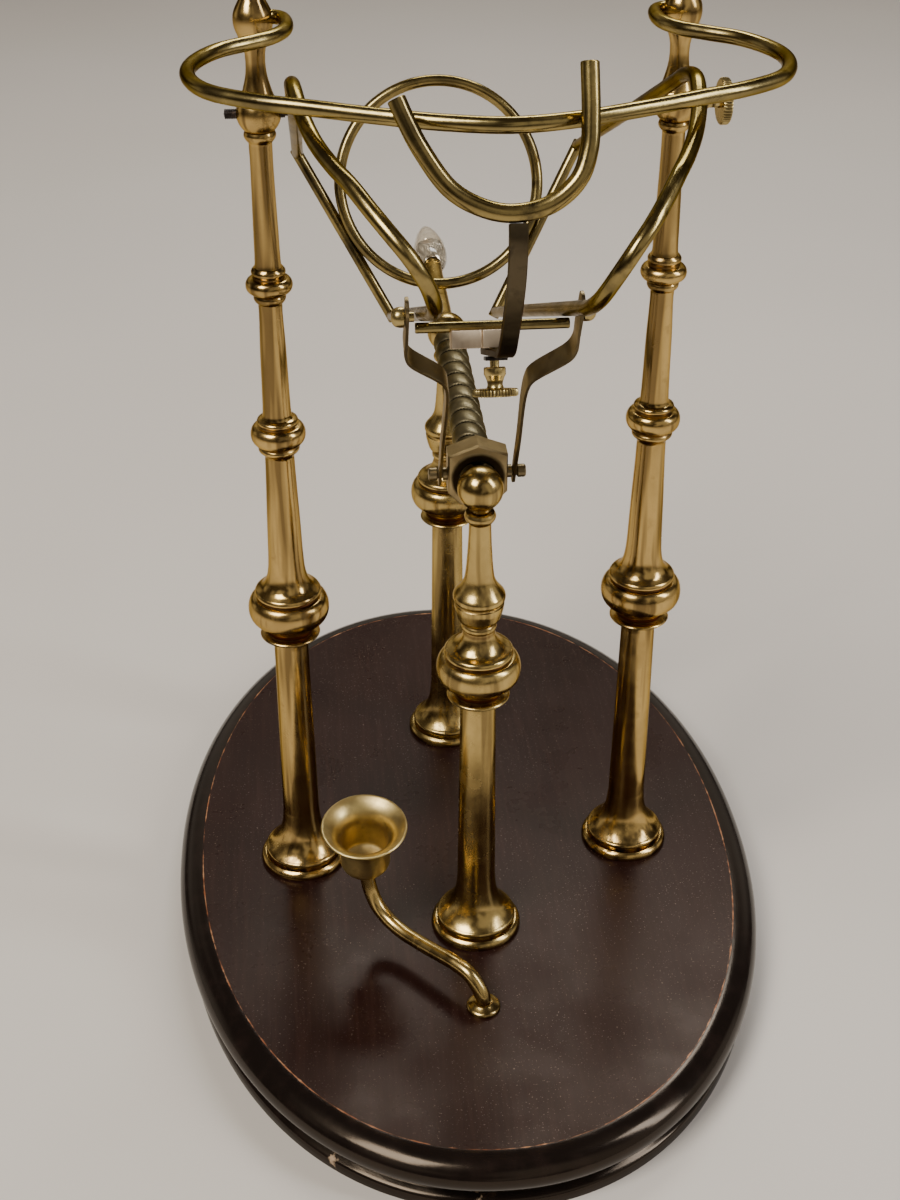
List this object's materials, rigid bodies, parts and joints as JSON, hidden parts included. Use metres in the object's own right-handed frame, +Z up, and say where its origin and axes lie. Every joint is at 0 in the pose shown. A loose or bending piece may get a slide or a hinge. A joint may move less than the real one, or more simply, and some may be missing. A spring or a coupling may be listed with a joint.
{
  "type": "wine decanting cradle",
  "caption": "Brass wine decanting cradle: a screw, nut and links tip a wire bottle cradle on turned posts above an oval wooden base with a candle cup.",
  "frame": {"origin": "centre of the base's underside, on the table", "axes": "+Z up, -Y towards the candle cup and the bottle's neck, +X to the right seen from that side"},
  "size_m": [0.2588, 0.399, 0.4146],
  "materials": {
    "wood_top": "satin dark stain with a worn edge",
    "wood_edge": "gloss black moulding",
    "turned_brass": "polished, tarnished in the hollows",
    "brass_wire": "drawn wire, olive tarnish",
    "bronze": "dull, unpolished",
    "screw_metal": "dull grey-brown",
    "dark_steel": "blackened",
    "clear_knob": "clear, polished"
  },
  "bodies": {
    "stand": {"base_board": "wood_top", "base_plinth": "wood_edge", "left_column_foot": "turned_brass", "left_column_shaft": "turned_brass", "left_column_knop": "turned_brass", "left_column_middle": "turned_brass", "left_column_upper": "turned_brass", "left_column_pivot_stem": "turned_brass", "left_column_finial": "turned_brass", "left_column_bolt": "dark_steel", "right_column_foot": "turned_brass", "right_column_shaft": "turned_brass", "right_column_knop": "turned_brass", "right_column_middle": "turned_brass", "right_column_upper": "turned_brass", "right_column_pivot_stem": "turned_brass", "right_column_finial": "turned_brass", "right_column_bolt": "dark_steel", "front_post_foot": "turned_brass", "front_post_shaft": "turned_brass", "front_post_knop": "turned_brass", "front_post_upper": "turned_brass", "front_post_ball": "turned_brass", "front_post_bolt": "dark_steel", "rear_post_foot": "turned_brass", "rear_post_shaft": "turned_brass", "rear_post_knop": "turned_brass", "rear_post_upper": "turned_brass", "rear_post_ball": "turned_brass", "rear_post_bolt": "dark_steel", "bow": "brass_wire", "pivot_stub": "dark_steel", "candle_flange": "turned_brass"},
    "screw_and_handle": {"lead_screw": "screw_metal", "handle_rod": "turned_brass", "handle_knob": "clear_knob"},
    "nut": {"nut": "bronze", "nut_pin_left": "bronze", "nut_pin_right": "bronze"},
    "links": {"link_left": "bronze", "link_right": "bronze", "link_screw_left": "turned_brass", "link_screw_right": "turned_brass"},
    "cradle": {"cradle_side_left": "brass_wire", "cradle_side_right": "brass_wire", "rear_bar_left": "brass_wire", "rear_bar_right": "brass_wire", "bottle_ring": "brass_wire", "cross_rod": "brass_wire", "clamp_block": "turned_brass"},
    "neck_rest": {"neck_strap": "dark_steel", "neck_rest": "brass_wire"},
    "clamp_screw": {"clamp_screw": "turned_brass", "lock_plate": "dark_steel"},
    "pivot_thumbscrew": {"pivot_thumbscrew": "turned_brass"},
    "candle_arm": {"candle_arm": "turned_brass", "candle_cup": "turned_brass"}
  },
  "joints": [
    {"name": "screw_spin", "type": "hinge", "parent": "stand", "child": "screw_and_handle", "pos_m": [0, 0.0342, 0.2367], "axis": [0, 1, 0], "range_deg": [0, 3109.09]},
    {"name": "nut_travel", "type": "slide", "parent": "stand", "child": "nut", "axis": [0, 1, 0], "range_m": [0, 0.0952]},
    {"name": "cradle_tilt", "type": "hinge", "parent": "stand", "child": "cradle", "pos_m": [0, -0.0109, 0.3602], "axis": [1, 0, 0], "range_deg": [0, 45.41]},
    {"name": "link_swing", "type": "hinge", "parent": "nut", "child": "links", "pos_m": [0, -0.0486, 0.2367], "axis": [1, 0, 0], "range_deg": [0, 37.81]},
    {"name": "neck_rest_slide", "type": "slide", "parent": "cradle", "child": "neck_rest", "axis": [0, -0.9191, 0.3939], "range_m": [0, 0.012]},
    {"name": "clamp_screw_turn", "type": "hinge", "parent": "cradle", "child": "clamp_screw", "pos_m": [0, -0.09966, 0.30033], "axis": [0, 0.3939, 0.9191], "range_deg": [0, 720]},
    {"name": "pivot_thumbscrew_turn", "type": "hinge", "parent": "stand", "child": "pivot_thumbscrew", "pos_m": [0.08, -0.0109, 0.3602], "axis": [1, 0, 0], "range_deg": [0, 720]},
    {"name": "candle_arm_swing", "type": "hinge", "parent": "stand", "child": "candle_arm", "pos_m": [-0.0019, -0.1109, 0.03], "axis": [0, 0, 1], "range_deg": [-12, 75]}
  ],
  "couplings": [
    {"joint": "nut_travel", "follows": "screw_spin", "m_per_rad": 0.0017507},
    {"joint": "cradle_tilt", "follows": "screw_spin", "ratio": 0.014575},
    {"joint": "link_swing", "follows": "screw_spin", "ratio": 0.012131}
  ]
}
